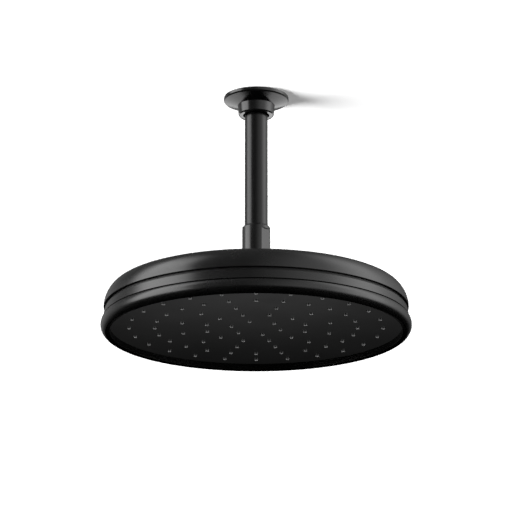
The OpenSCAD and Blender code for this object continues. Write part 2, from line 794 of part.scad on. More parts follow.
// Screws that hold the spacer down on the middle band.
module ring_screws() {
    color(steel) around(ring_screw_count, ring_screw_r) screw(z_spacer_top, z_ring_blind + tip_gap);
}

// Soft mat with one conical nozzle for each hole in the face plate.
module nozzle_mat() {
    root_h = z_face_top - z_nozzle_tip;
    color(silicone) difference() {
        union() {
            peg(mat_r, z_face_top, z_mat_top);
            at_nozzles() translate([0, 0, z_nozzle_tip])
                cylinder(r1 = nozzle_tip_d / 2, r2 = nozzle_root_d / 2, h = root_h + mat_t / 2);
        }
        at_nozzles() peg(jet_d / 2, z_nozzle_tip - eps, z_mat_top + eps);
        around(chamber_screw_count, chamber_screw_r)
            peg(boss_r + thread_gap, z_face_top - eps, z_mat_top + eps);
    }
}

// Drilled plate with screw bosses on its upper side.
module face_plate() {
    color(coat) difference() {
        union() {
            peg(plate_r, z_face, z_face_top);
            around(chamber_screw_count, chamber_screw_r) peg(boss_r, z_face, z_boss_top);
        }
        at_nozzles() peg(nozzle_root_d / 2 + nozzle_gap, z_face - eps, z_face_top + eps);
        around(chamber_screw_count, chamber_screw_r) peg(tap_r, z_chamber_blind, z_boss_top + eps);
    }
}

shower_arm();
swivel_fitting();
inlet_washer();
filter_screen();
flow_regulator();
regulator_o_ring();
grip_o_ring();
ceiling_flange();
flange_bushing();
ball_liner();
retaining_collar();
ball_seal();
backing_ring();
inlet_boss();
boss_gasket();
hub_o_ring();
top_shell();
spacer_ring();
mid_ring();
rim_ring();
chamber_back();
chamber_screws();
ring_screws();
nozzle_mat();
face_plate();
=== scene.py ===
import math

import bmesh
import bpy
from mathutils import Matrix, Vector


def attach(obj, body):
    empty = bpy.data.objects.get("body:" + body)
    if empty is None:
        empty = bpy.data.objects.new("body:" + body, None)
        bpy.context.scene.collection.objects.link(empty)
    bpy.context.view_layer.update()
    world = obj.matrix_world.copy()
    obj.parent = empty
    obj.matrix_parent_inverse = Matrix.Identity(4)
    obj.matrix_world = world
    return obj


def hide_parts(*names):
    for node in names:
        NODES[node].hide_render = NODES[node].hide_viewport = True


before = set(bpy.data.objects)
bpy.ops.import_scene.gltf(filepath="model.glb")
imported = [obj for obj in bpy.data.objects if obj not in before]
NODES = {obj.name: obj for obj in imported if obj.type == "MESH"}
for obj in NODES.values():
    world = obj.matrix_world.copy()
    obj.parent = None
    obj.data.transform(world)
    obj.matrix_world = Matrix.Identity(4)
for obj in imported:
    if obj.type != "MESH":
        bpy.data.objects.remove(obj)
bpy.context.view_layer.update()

# Sizes are millimetres in the part's own frame: the arm's axis is r = 0, the ceiling is z = 0.
MM = 0.001

# Arm with its half-inch thread
ARM_R, ARM_BORE_R, ARM_TOP, ARM_SHOULDER = 11.5, 7.5, 16.0, -2.0
THREAD_R, THREAD_PITCH, THREAD_DEPTH = 10.45, 1.814, 1.0
THREAD_LEAD, THREAD_START, THREAD_FADE, THREAD_CREST = 1.0, 0.4, 2.5, 0.2

# Swivel fitting with its wrench flats and ball
FITTING_TOP = -136.5
FITTING_LOW = FITTING_TOP - 29.0
ARM_LOW = FITTING_TOP - 12.5
FITTING_R, SOCKET_R, POCKET_R, WATERWAY_R = 14.0, 10.65, 8.5, 4.2
FLAT_TOP, FLAT_HALF, FLAT_TURN = FITTING_TOP - 5.0, 12.75, 47.5
BALL_Z, BALL_R, STEM_R = FITTING_LOW - 14.5, 11.0, 6.5

# Ceiling flange
FLANGE_R, FLANGE_H, NECK_R, NECK_BORE_R = 32.8, 19.6, 17.9, 16.9

# Collar round the ball, with its grip flutes
COLLAR_R, COLLAR_MOUTH_R, BALL_SEAT_R, COLLAR_THREAD_R = 16.5, 9.9, 13.1, 13.7
COLLAR_TOP, COLLAR_LOW = BALL_Z + 10.0, BALL_Z - 12.7
FLUTES, FLUTE_R, FLUTE_CUT, FLUTE_TOP = 8, 3.0, 1.2, COLLAR_TOP - 3.6

# Head, from the crown down
HEAD_R, SHELL_R, SHELL_WALL, SHELL_HOLE_R, LAND_R = 153.3, 150.6, 1.6, 10.65, 20.6
CROWN_TOP, CROWN_R = BALL_Z - 16.6, 1900.0
SHOULDER_HIGH_R, SHOULDER_LOW_R, SHOULDER_TURN = 13.9, 24.7, 42.0
SHELL_SKIRT, GROOVE, BAND_H, SEAM = 0.3, 2.7, 8.6, 1.0
BAND_BORE_R, SEAM_R, RECESS_R, MAT_BORE_R, RIM_BORE_R = 140.5, 148.7, 148.2, 146.5, 148.4
BEAD_R, BEAD_DROP, BEAD_TURN, LIP_RISE = 9.1, 5.6, 62.0, 1.3
FACE_DROP, FACE_T, MAT_T, MAT_R, MAT_HOLE_R, CHAMBER_H = 6.4, 1.8, 2.0, 146.35, 9.0, 6.0

# Nozzles, with how many stand on each ring and by how many degrees the ring is turned
NOZZLE_PITCH, NOZZLE_PROUD, NOZZLE_ROOT_R, NOZZLE_R, JET_R = 25.0, 1.5, 2.4, 1.9, 0.55
NOZZLE_RINGS = ((6, -15.0), (12, 15.0), (12, 15.0), (24, 0.0), (24, 0.0))

STEP = 0.02  # half the height of a step that stays sharp


def shoulder_arcs():
    """Centres of the shoulder's two arcs and the angle where the crown ends. They meet without a crease."""
    turn = math.radians(SHOULDER_TURN)
    apart = SHOULDER_LOW_R - SHOULDER_HIGH_R
    reach = CROWN_R - SHOULDER_HIGH_R
    r = SHELL_R - SHOULDER_LOW_R + apart * math.cos(turn)
    z = CROWN_TOP - CROWN_R + math.sqrt(reach ** 2 - r ** 2)
    low = (r - apart * math.cos(turn), z - apart * math.sin(turn))
    return (r, z), low, math.degrees(math.acos(r / reach))


SHOULDER_HIGH, SHOULDER_LOW, CROWN_END = shoulder_arcs()
SHELL_LOW = SHOULDER_LOW[1] - SHELL_SKIRT
BAND_TOP = SHELL_LOW - GROOVE
BAND_LOW = BAND_TOP - BAND_H
RIM_TOP = BAND_LOW - SEAM
FACE_Z = RIM_TOP - FACE_DROP
FACE_TOP = FACE_Z + FACE_T
MAT_TOP = FACE_TOP + MAT_T
NOZZLE_TIP = FACE_Z - NOZZLE_PROUD


# ---------------------------------------------------------------- turned pieces

def arc(centre, radius, start, end, steps):
    """Points (r, z) along an arc, angles in degrees."""
    turns = [math.radians(start + (end - start) * i / steps) for i in range(steps + 1)]
    return [(centre[0] + radius * math.cos(t), centre[1] + radius * math.sin(t)) for t in turns]


def soft(corners, steps=5, hold=0.35):
    """A closed section whose corners (r, z, round) are rounded, with a holding point beside each round."""
    share = 0.48  # a holding point stays out where it would stand past this share of its edge
    out = []
    for i, corner in enumerate(corners):
        r, z = corner[:2]
        radius = corner[2] if len(corner) > 2 else 0.0
        if not radius:
            out.append((r, z))
            continue
        before, after = corners[i - 1], corners[(i + 1) % len(corners)]
        ux, uz = before[0] - r, before[1] - z
        vx, vz = after[0] - r, after[1] - z
        u_length, v_length = math.hypot(ux, uz), math.hypot(vx, vz)
        ux, uz, vx, vz = ux / u_length, uz / u_length, vx / v_length, vz / v_length
        half = math.acos(max(-1, min(1, ux * vx + uz * vz))) / 2
        reach = radius / math.tan(half)
        middle = math.hypot(ux + vx, uz + vz)
        away = radius / math.sin(half)
        centre_r, centre_z = r + (ux + vx) / middle * away, z + (uz + vz) / middle * away
        first = math.atan2(z + uz * reach - centre_z, r + ux * reach - centre_r)
        last = math.atan2(z + vz * reach - centre_z, r + vx * reach - centre_r)
        turn = (last - first + math.pi) % math.tau - math.pi
        grip = reach + min(hold, radius)
        if grip < u_length * share:
            out.append((r + ux * grip, z + uz * grip))
        for k in range(steps + 1):
            t = first + turn * k / steps
            out.append((centre_r + radius * math.cos(t), centre_z + radius * math.sin(t)))
        if grip < v_length * share:
            out.append((r + vx * grip, z + vz * grip))
    return out


def finish_mesh(mesh, sharp):
    """Outward faces, smooth shading and sharp edges past an angle."""
    bm = bmesh.new()
    bm.from_mesh(mesh)
    bmesh.ops.remove_doubles(bm, verts=bm.verts, dist=1e-7)
    bmesh.ops.recalc_face_normals(bm, faces=bm.faces)
    if bm.calc_volume(signed=True) < 0:
        bmesh.ops.reverse_faces(bm, faces=bm.faces)
    bm.to_mesh(mesh)
    bm.free()
    mesh.polygons.foreach_set("use_smooth", [True] * len(mesh.polygons))
    mesh.set_sharp_from_angle(angle=math.radians(sharp))
    mesh.update()


def add_object(name, data):
    obj = bpy.data.objects.new(name, data)
    bpy.context.scene.collection.objects.link(obj)
    return obj


def turned(name, section, segments=256, reshape=None, sharp=40):
    """A closed section (r, z) turned about the arm's axis.

    reshape(angle, r, z) gives the radius where there are flats, flutes or a thread.
    """
    count = len(section)
    points, faces = [], []
    for s in range(segments):
        a = math.tau * s / segments
        for r, z in section:
            if reshape:
                r = reshape(a, r, z)
            points.append((r * math.sin(a) * MM, -r * math.cos(a) * MM, z * MM))
    for s in range(segments):
        t = (s + 1) % segments
        for i in range(count):
            j = (i + 1) % count
            faces.append((s * count + i, t * count + i, t * count + j, s * count + j))
    mesh = bpy.data.meshes.new(name)
    mesh.from_pydata(points, [], faces)
    finish_mesh(mesh, sharp)
    return add_object(name, mesh)


def thread_cut(a, r, z):
    """Radius of the half-inch thread on the arm's upper end, which runs out above the shoulder."""
    if r < ARM_BORE_R + 1 or z < ARM_SHOULDER + THREAD_START or z > ARM_TOP:
        return r
    phase = (z / THREAD_PITCH - a / math.tau) % 1.0
    ridge = min(1.0, abs(2 * phase - 1) / (1 - THREAD_CREST))
    fade = min(1.0, (z - ARM_SHOULDER) / THREAD_FADE)
    return r - THREAD_DEPTH * (1 - ridge) * fade


def fitting_flats(a, r, z):
    """Two wrench flats below the fitting's ledge."""
    if z > FLAT_TOP:
        return r
    across = abs(math.cos(a - math.radians(FLAT_TURN)))
    return min(r, FLAT_HALF / max(across, 1e-6))


def collar_flutes(a, r, z):
    """Grip flutes round the collar's lower part."""
    if r < COLLAR_R - 1.5 or z > FLUTE_TOP:
        return r
    apart = math.tau / FLUTES
    off = (a + apart / 2) % apart - apart / 2
    centre_r = COLLAR_R - FLUTE_CUT + FLUTE_R
    side = centre_r * math.sin(off)
    if abs(side) >= FLUTE_R:
        return r
    return min(r, centre_r * math.cos(off) - math.sqrt(FLUTE_R ** 2 - side ** 2))


def arm_section():
    """A tube with a threaded end above its shoulder and a plain one inside the fitting."""
    lead, row, slope = THREAD_LEAD, 0.2, 1.0
    rows = [ARM_TOP - lead - i * row for i in range(int((ARM_TOP - lead - ARM_SHOULDER) / row))]
    thread = [(THREAD_R - lead, ARM_TOP), (THREAD_R - lead / 2, ARM_TOP - lead / 2)]
    thread += [(THREAD_R, z) for z in rows]
    return thread + soft([
        (THREAD_R, ARM_SHOULDER), (ARM_R, ARM_SHOULDER - slope, 0.25), (ARM_R, FITTING_TOP, 0.1),
        (THREAD_R, FITTING_TOP), (THREAD_R, ARM_LOW + lead), (THREAD_R - lead, ARM_LOW),
        (ARM_BORE_R, ARM_LOW), (ARM_BORE_R, ARM_TOP)
    ])


def fitting_section():
    """A chamfered body, a stem and a ball, bored from the arm's socket down to the ball's mouth."""
    mouth_r, chamfer, edge, stem_h = ARM_R + 0.3, 2.3, 0.8, 2.0
    pocket_top, pocket_low = ARM_LOW - 2.4, ARM_LOW - 8.4
    ball_mouth_angle, ball_mouth_z = -55.7, BALL_Z - 9.0
    ball_top_angle = math.degrees(math.acos(STEM_R / BALL_R))
    outside = soft([
        (SOCKET_R, FITTING_TOP), (mouth_r, FITTING_TOP, 0.12), (FITTING_R, FITTING_TOP - chamfer, 0.35),
        (FITTING_R, FLAT_TOP + STEP), (FITTING_R, FLAT_TOP - STEP), (FITTING_R, FITTING_LOW + edge, 0.2),
        (FITTING_R - edge, FITTING_LOW, 0.2), (STEM_R, FITTING_LOW, edge), (STEM_R, FITTING_LOW - stem_h)
    ])
    bore = [(WATERWAY_R, ball_mouth_z), (WATERWAY_R, pocket_low), (POCKET_R, pocket_low),
            (POCKET_R, pocket_top), (SOCKET_R, pocket_top)]
    return outside + arc((0, BALL_Z), BALL_R, ball_top_angle, ball_mouth_angle, 40) + bore


def flange_section():
    """A thin plate with a raised edge, and a neck that narrows towards its mouth."""
    inner_r, relief_r, under_r, neck_root_r = FLANGE_R - 1.6, FLANGE_R - 0.35, FLANGE_R - 0.65, NECK_R + 0.8
    relief_z, edge_z, mouth_z = -1.0, -3.0, 1.2 - FLANGE_H
    inner_edge_z, inner_neck_z, under_edge_z, under_neck_z = -2.6, -7.2, -4.41, -8.8
    return soft([
        (inner_r, 0), (inner_r, inner_edge_z, 0.5), (NECK_BORE_R, inner_neck_z, 0.5),
        (NECK_BORE_R, -FLANGE_H), (NECK_R, mouth_z, 0.4), (neck_root_r, under_neck_z, 0.6),
        (under_r, under_edge_z, 0.25), (FLANGE_R, edge_z, 0.4), (FLANGE_R, relief_z, 0.12),
        (relief_r, relief_z), (relief_r, 0)
    ], steps=8)


def collar_section():
    """A sleeve whose chamfered top closes over the ball, bored for the boss below it.

    The flutes' end is listed upper point first, while the outline runs upwards, so it folds there.
    """
    chamfer, edge, thread_top = 1.6, 0.6, BALL_Z - 3.8
    seat_angle = math.degrees(math.acos(COLLAR_MOUTH_R / BALL_SEAT_R))
    ball_seat = arc((0, BALL_Z), BALL_SEAT_R, seat_angle, 0, 16)
    return [(COLLAR_THREAD_R, COLLAR_LOW)] + soft([
        (COLLAR_THREAD_R + 0.5, COLLAR_LOW), (COLLAR_R - edge, COLLAR_LOW, 0.15),
        (COLLAR_R, COLLAR_LOW + edge, 0.2), (COLLAR_R, FLUTE_TOP + STEP), (COLLAR_R, FLUTE_TOP - STEP),
        (COLLAR_R, COLLAR_TOP - chamfer, 0.4), (COLLAR_R - chamfer, COLLAR_TOP, 0.4),
        (COLLAR_MOUTH_R, COLLAR_TOP)
    ]) + ball_seat + [(BALL_SEAT_R, thread_top), (COLLAR_THREAD_R, thread_top)]


def shell_section():
    """A shallow crown with a flat land for the boss, a shoulder of two arcs and a short rounded skirt."""
    def outline(depth, start_r):
        crown = CROWN_R - depth
        start = math.degrees(math.acos(start_r / crown))
        return (
            arc((0, CROWN_TOP - CROWN_R), crown, start, CROWN_END, 30)
            + arc(SHOULDER_HIGH, SHOULDER_HIGH_R - depth, CROWN_END, SHOULDER_TURN, 26)[1:]
            + arc(SHOULDER_LOW, SHOULDER_LOW_R - depth, SHOULDER_TURN, 0, 26)[1:]
        )
    land, edge, inner_edge, bulge = CROWN_TOP - 0.3, 0.22, 0.2, 0.06
    inner_r = SHELL_R - SHELL_WALL
    boss_land = [(SHELL_HOLE_R, land), (LAND_R, land), (LAND_R + 0.35, land + 0.05)]
    skirt = [(SHELL_R, SHELL_LOW + edge), (SHELL_R - bulge, SHELL_LOW + bulge), (SHELL_R - edge, SHELL_LOW),
             (inner_r + edge, SHELL_LOW), (inner_r, SHELL_LOW + inner_edge)]
    return boss_land + outline(0, LAND_R + 0.4) + skirt + outline(SHELL_WALL, SHELL_HOLE_R)[::-1]


def band_section():
    """A band that flares downwards, hollow for the mat and the chamber."""
    top_r, low_r, chamber_top = HEAD_R - 4.0, HEAD_R - 2.2, MAT_TOP + CHAMBER_H
    return soft([
        (BAND_BORE_R, BAND_TOP), (top_r, BAND_TOP, 0.3), (low_r, BAND_LOW, 0.3),
        (SEAM_R, BAND_LOW), (SEAM_R, RIM_TOP), (RECESS_R, RIM_TOP), (RECESS_R, FACE_TOP),
        (MAT_BORE_R, FACE_TOP), (MAT_BORE_R, chamber_top), (BAND_BORE_R, chamber_top)
    ])


def rim_section():
    """A round bead whose top is cut by the seam and whose foot turns up into a lip round the spray face."""
    r, z = HEAD_R - BEAD_R, RIM_TOP - BEAD_DROP
    top_angle = math.degrees(math.asin(BEAD_DROP / BEAD_R))
    bead = arc((r, z), BEAD_R, top_angle, -BEAD_TURN, 44)
    top_round, foot_round, lip_round = 0.3, 1.5, 0.4
    lip = (r, bead[-1][1] + LIP_RISE, lip_round)
    # The bead's first 3 and last 6 points give way to the rounds at its two ends.
    top_edge = soft([(bead[0][0] - 0.6, RIM_TOP), bead[0] + (top_round,), bead[6]], steps=4)[1:-1]
    foot = soft([bead[-8], bead[-1] + (foot_round,), lip, (r, FACE_Z)], steps=8)[1:-1]
    return [(RIM_BORE_R, RIM_TOP)] + top_edge + bead[3:-6] + foot + [(r, FACE_Z), (RIM_BORE_R, FACE_Z)]


def mat_section():
    """The flat sheet that carries the nozzles, clamped above the face plate."""
    play, edge = 0.02, 0.3
    low = FACE_TOP + play
    return soft([(MAT_HOLE_R, low), (MAT_R, low, edge), (MAT_R, MAT_TOP, edge), (MAT_HOLE_R, MAT_TOP)])


# ---------------------------------------------------------------- nozzles that repeat

def nozzle_master():
    """One soft nozzle with its tip at z = 0: a root that fills the hole, a beaded tip and an open jet."""
    root, neck, lip = FACE_TOP - NOZZLE_TIP, 1.9, 0.8
    tip_r, lip_r = NOZZLE_R - 0.2, JET_R + 0.07
    # The tip face outside the jet is marked for a paler paint: painted light on the tip, with the root and
    # bore left dark as painted shade.
    painted_tip_h, painted_tip_r = 0.2, JET_R + 0.05
    section = soft([
        (JET_R, root), (NOZZLE_ROOT_R, root), (NOZZLE_R, neck, 0.4), (tip_r, 0.0, 0.5),
        (lip_r, 0.0, 0.15), (JET_R, lip)
    ], steps=3, hold=0.1)
    obj = turned("nozzle_master", section, segments=20, sharp=60)
    tip = obj.data.attributes.new("tip", "FLOAT", "FACE")
    for polygon, mark in zip(obj.data.polygons, tip.data):
        centre = polygon.center
        mark.value = float(centre.z < painted_tip_h * MM and centre.xy.length > painted_tip_r * MM)
    return obj


def rings_tree(master, material):
    """Rings of copies on one level. Inputs: Pitch, Level."""
    tree = bpy.data.node_groups.new("nozzle_rings", "GeometryNodeTree")
    face = tree.interface
    face.new_socket("Geometry", in_out="INPUT", socket_type="NodeSocketGeometry")
    pitch = face.new_socket("Pitch", in_out="INPUT", socket_type="NodeSocketFloat")
    level = face.new_socket("Level", in_out="INPUT", socket_type="NodeSocketFloat")
    face.new_socket("Geometry", in_out="OUTPUT", socket_type="NodeSocketGeometry")
    new, link = tree.nodes.new, tree.links.new
    entry, leave = new("NodeGroupInput"), new("NodeGroupOutput")
    join = new("GeometryNodeJoinGeometry")
    for i, (count, turn) in enumerate(NOZZLE_RINGS):
        scale = new("ShaderNodeMath")
        scale.operation = "MULTIPLY"
        scale.inputs[1].default_value = i + 1
        link(entry.outputs["Pitch"], scale.inputs[0])
        circle = new("GeometryNodeMeshCircle")
        circle.inputs["Vertices"].default_value = count
        link(scale.outputs[0], circle.inputs["Radius"])
        spin = new("GeometryNodeTransform")
        spin.inputs["Rotation"].default_value = (0, 0, math.radians(turn - 90))
        link(circle.outputs["Mesh"], spin.inputs["Geometry"])
        link(spin.outputs["Geometry"], join.inputs["Geometry"])
    height = new("ShaderNodeCombineXYZ")
    link(entry.outputs["Level"], height.inputs["Z"])
    lift = new("GeometryNodeTransform")
    link(height.outputs[0], lift.inputs["Translation"])
    link(join.outputs[0], lift.inputs["Geometry"])
    copy = new("GeometryNodeObjectInfo")
    copy.inputs["Object"].default_value = master
    place = new("GeometryNodeInstanceOnPoints")
    link(lift.outputs["Geometry"], place.inputs["Points"])
    link(copy.outputs["Geometry"], place.inputs["Instance"])
    whole = new("GeometryNodeRealizeInstances")
    link(place.outputs["Instances"], whole.inputs["Geometry"])
    paint = new("GeometryNodeSetMaterial")
    paint.inputs["Material"].default_value = material
    link(whole.outputs["Geometry"], paint.inputs["Geometry"])
    link(paint.outputs["Geometry"], leave.inputs["Geometry"])
    return tree, {"Pitch": pitch.identifier, "Level": level.identifier}


def grown(name, tree, values):
    """A plain mesh from a Geometry Nodes tree."""
    obj = add_object(name, bpy.data.meshes.new(name))
    grow = obj.modifiers.new("grow", "NODES")
    grow.node_group = tree
    for key, value in values.items():
        grow[key] = value
    graph = bpy.context.evaluated_depsgraph_get()
    mesh = bpy.data.meshes.new_from_object(obj.evaluated_get(graph))
    obj.modifiers.clear()
    obj.data = mesh
    mesh.name = name
    return obj


# ---------------------------------------------------------------- shader nodes

def feed(tree, socket, value):
    """Sets a socket to a number or a colour, or links another socket to it."""
    if isinstance(value, (int, float, tuple)):
        socket.default_value = value
    else:
        tree.links.new(value, socket)


def noise(tree, vector, scale, detail):
    node = tree.nodes.new("ShaderNodeTexNoise")
    node.inputs["Detail"].default_value = detail
    tree.links.new(vector, node.inputs["Vector"])
    feed(tree, node.inputs["Scale"], scale)
    return node.outputs["Fac"]


def span(tree, value, low, high, to_low=0.0, to_high=1.0, smooth=False):
    node = tree.nodes.new("ShaderNodeMapRange")
    if smooth:
        node.interpolation_type = "SMOOTHSTEP"
    tree.links.new(value, node.inputs["Value"])
    for label, number in (("From Min", low), ("From Max", high), ("To Min", to_low), ("To Max", to_high)):
        feed(tree, node.inputs[label], number)
    return node.outputs["Result"]


def maths(tree, operation, *values):
    node = tree.nodes.new("ShaderNodeMath")
    node.operation = operation
    for i, value in enumerate(values):
        feed(tree, node.inputs[i], value)
    return node.outputs[0]


def mixed(tree, factor, a, b):
    node = tree.nodes.new("ShaderNodeMix")
    node.data_type = "RGBA"
    # In colour mode the factor is input 0 and the two colours are inputs 6 and 7.
    for index, value in ((0, factor), (6, a), (7, b)):
        feed(tree, node.inputs[index], value)
    return node.outputs[2]


def split_axes(tree, vector):
    node = tree.nodes.new("ShaderNodeSeparateXYZ")
    tree.links.new(vector, node.inputs[0])
    return node.outputs


# ---------------------------------------------------------------- shader groups

def start_group(name, inputs, output_names):
    """A group with a Vector input, inputs given as names with their usual numbers, and named outputs."""
    tree = bpy.data.node_groups.new(name, "ShaderNodeTree")
    tree.interface.new_socket("Vector", in_out="INPUT", socket_type="NodeSocketVector")
    for label, value in inputs.items():
        socket = tree.interface.new_socket(label, in_out="INPUT", socket_type="NodeSocketFloat")
        socket.default_value = value
    for label in output_names:
        tree.interface.new_socket(label, in_out="OUTPUT", socket_type="NodeSocketFloat")
    return tree, tree.nodes.new("NodeGroupInput").outputs, tree.nodes.new("NodeGroupOutput").inputs


def grain_group():
    """The fine skin of a coating or a moulding. Height feeds a bump, Mottle varies colour and roughness."""
    tree, entry, leave = start_group(
        "fine_grain", {"Grain": 900.0, "Patch": 30.0, "Orange Peel": 0.4}, ["Height", "Mottle"])
    fine = noise(tree, entry["Vector"], entry["Grain"], 2.0)
    wave = noise(tree, entry["Vector"], maths(tree, "MULTIPLY", entry["Grain"], 0.22), 1.0)
    patch = noise(tree, entry["Vector"], entry["Patch"], 4.0)
    tree.links.new(maths(tree, "MULTIPLY_ADD", wave, entry["Orange Peel"], fine), leave["Height"])
    tree.links.new(span(tree, patch, 0.3, 0.7), leave["Mottle"])
    return tree


def wear_group():
    """Edges that handling has rubbed a little paler. Mask is 1 on a rubbed edge."""
    tree, entry, leave = start_group("edge_wear", {"Start": 0.53, "Full": 0.62}, ["Mask"])
    geometry = tree.nodes.new("ShaderNodeNewGeometry")
    edge = span(tree, geometry.outputs["Pointiness"], entry["Start"], entry["Full"])
    broken = span(tree, noise(tree, entry["Vector"], 220.0, 4.0), 0.38, 0.62)
    tree.links.new(maths(tree, "MULTIPLY", edge, broken), leave["Mask"])
    return tree


def film_group():
    """The faint film that dried water leaves, more on faces that look up. Film is 0 to 1."""
    tree, entry, leave = start_group("dried_film", {"Spots": 140.0, "Upward": 0.6}, ["Film"])
    geometry = tree.nodes.new("ShaderNodeNewGeometry")
    facing = split_axes(tree, geometry.outputs["Normal"])["Z"]
    up = span(tree, facing, -0.2, 1.0, maths(tree, "SUBTRACT", 1.0, entry["Upward"]), 1.0)
    spots = tree.nodes.new("ShaderNodeTexVoronoi")
    spots.feature = "SMOOTH_F1"
    tree.links.new(entry["Vector"], spots.inputs["Vector"])
    tree.links.new(entry["Spots"], spots.inputs["Scale"])
    dots = span(tree, spots.outputs["Distance"], 0.05, 0.3, 1.0, 0.0)
    haze = span(tree, noise(tree, entry["Vector"], 18.0, 5.0), 0.42, 0.75)
    film = maths(tree, "MULTIPLY", maths(tree, "MULTIPLY_ADD", dots, 0.35, haze), up)
    tree.links.new(film, leave["Film"])
    return tree


GRAIN, WEAR, FILM = grain_group(), wear_group(), film_group()


# ---------------------------------------------------------------- finishes

def grey(value, warm=0.0):
    return (value * (1 + warm), value, value * (1 - warm), 1.0)


FILM_COLOUR, FILM_ROUGHNESS = grey(0.42), 0.8
DUST_START, DUST_FULL = 0.962, 0.985  # upward part of the direction a face looks in
BUMP_DEPTH = 0.0004  # metres


def place_group(tree, group, vector, **values):
    """A shader group in a material, with numbers for its named sockets."""
    node = tree.nodes.new("ShaderNodeGroup")
    node.node_tree = group
    tree.links.new(vector, node.inputs["Vector"])
    for label, value in values.items():
        node.inputs[label].default_value = value
    return node.outputs


def skin(name, base, lighter, rough, grain=900.0, patch=30.0, bump=0.04, spread=0.06,
         metal=0.0, specular=0.5, wear=None, wear_amount=0.5, film=0.0, dust=0.0):
    """A finish: base colour with a slight mottle, a fine skin, rubbed edges and dried film.

    dust is how much rougher it makes the faces that look straight up on the hanging head.
    """
    material = bpy.data.materials.new(name)
    material.use_nodes = True
    tree = material.node_tree
    shader = tree.nodes["Principled BSDF"]
    where = tree.nodes.new("ShaderNodeTexCoord").outputs
    fine = place_group(tree, GRAIN, where["Object"], Grain=grain, Patch=patch)
    colour = mixed(tree, fine["Mottle"], base, lighter)
    roughness = span(tree, fine["Mottle"], 0.0, 1.0, rough - spread / 2, rough + spread / 2)
    if film:
        amount = maths(tree, "MULTIPLY", place_group(tree, FILM, where["Object"])["Film"], film)
        colour = mixed(tree, amount, colour, FILM_COLOUR)
        roughness = maths(tree, "MULTIPLY_ADD", amount, FILM_ROUGHNESS, roughness)
    if wear:
        amount = maths(tree, "MULTIPLY", place_group(tree, WEAR, where["Object"])["Mask"], wear_amount)
        colour = mixed(tree, amount, colour, wear)
    if dust:
        settled = span(tree, split_axes(tree, where["Normal"])["Z"], DUST_START, DUST_FULL, smooth=True)
        roughness = maths(tree, "MULTIPLY_ADD", settled, dust, roughness)
    tree.links.new(colour, shader.inputs["Base Color"])
    tree.links.new(roughness, shader.inputs["Roughness"])

    relief = tree.nodes.new("ShaderNodeBump")
    relief.inputs["Strength"].default_value = bump
    relief.inputs["Distance"].default_value = BUMP_DEPTH
    tree.links.new(fine["Height"], relief.inputs["Height"])
    tree.links.new(relief.outputs["Normal"], shader.inputs["Normal"])
    shader.inputs["Metallic"].default_value = metal
    shader.inputs["Specular IOR Level"].default_value = specular
    material.diffuse_color = base
    return material


def paint_tip_light_root_shade(material, colour):
    """Paints a nozzle's tip face paler than its root and its bore: painted light on the tip, painted shade on
    the root and in the bore.
    """
    tree = material.node_tree
    target = tree.nodes["Principled BSDF"].inputs["Base Color"]
    mark = tree.nodes.new("ShaderNodeAttribute")
    mark.attribute_name = "tip"
    tree.links.new(mixed(tree, mark.outputs["Fac"], target.links[0].from_socket, colour), target)


COAT, COAT_LIGHTER, RUBBED = grey(0.0045), grey(0.0065), grey(0.055)
satin_black = skin("satin_black_coat", COAT, COAT_LIGHTER, 0.26, wear=RUBBED, wear_amount=0.35,
                   film=0.012, dust=0.6)
arm_black = skin("arm_black_coat", COAT, COAT_LIGHTER, 0.26, specular=0.37, wear=RUBBED,
                 wear_amount=0.35, film=0.012)
flange_black = skin("flange_black_coat", COAT, COAT_LIGHTER, 0.19, wear=RUBBED, wear_amount=0.25,
                    film=0.012)
groove_black = skin("groove_black", grey(0.006), grey(0.009), 0.5, film=0.004)
face_black = skin("spray_face_black", grey(0.026), grey(0.031), 0.55, grain=1600.0, patch=14.0,
                  bump=0.12, specular=0.28, film=0.01)
soft_grey = skin("nozzle_silicone", grey(0.05), grey(0.07), 0.42, grain=2200.0, patch=90.0, bump=0.08,
                 spread=0.1, specular=0.4)
# Painted light on the nozzles' tip faces and painted shade on their roots and bores.
paint_tip_light_root_shade(soft_grey, grey(0.4))
seal_black = skin("seal_rubber", grey(0.009), grey(0.014), 0.55, grain=1800.0, patch=120.0, bump=0.15,
                  specular=0.35)
bushing_black = skin("bushing_black", grey(0.014), grey(0.02), 0.2, grain=1300.0, patch=110.0,
                     bump=0.05, specular=0.7)
white_moulding = skin("white_moulding", grey(0.6, 0.01), grey(0.68, 0.015), 0.42, grain=1000.0,
                      patch=45.0, bump=0.1, film=0.05)
brass = skin("bare_brass", (0.52, 0.34, 0.115, 1), (0.62, 0.43, 0.17, 1), 0.32, grain=1400.0,
             patch=160.0, bump=0.15, metal=1.0, wear=(0.8, 0.6, 0.27, 1), wear_amount=0.6, film=0.06)
steel = skin("stainless_steel", grey(0.5), grey(0.6), 0.3, grain=2500.0, patch=200.0, bump=0.1, metal=1.0)


# ---------------------------------------------------------------- pieces

def dress(obj, *materials):
    obj.data.materials.clear()
    for material in materials:
        obj.data.materials.append(material)


def seat(obj, body, slot, *nodes):
    """Lets a piece ride on its body, in the place of the CAD nodes named."""
    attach(obj, body)
    if nodes:
        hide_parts(*nodes)


def coated(name, section, body, node, material=satin_black, segments=384, reshape=None, sharp=40):
    """A turned piece with a black coat."""
    obj = turned(name, section, segments, reshape, sharp)
    dress(obj, material)
    seat(obj, body, "black_coat", node)
    return obj


def bare_arm_ends(arm):
    """Brass on the arm's thread, in its bore and on the end inside the fitting, black coat elsewhere."""
    dress(arm, arm_black, brass)
    for polygon in arm.data.polygons:
        centre = polygon.center
        end = centre.z > (ARM_SHOULDER - 0.1) * MM or centre.z < FITTING_TOP * MM
        bore = math.hypot(centre.x, centre.y) < (ARM_BORE_R + 0.2) * MM
        polygon.material_index = 1 if end or bore else 0


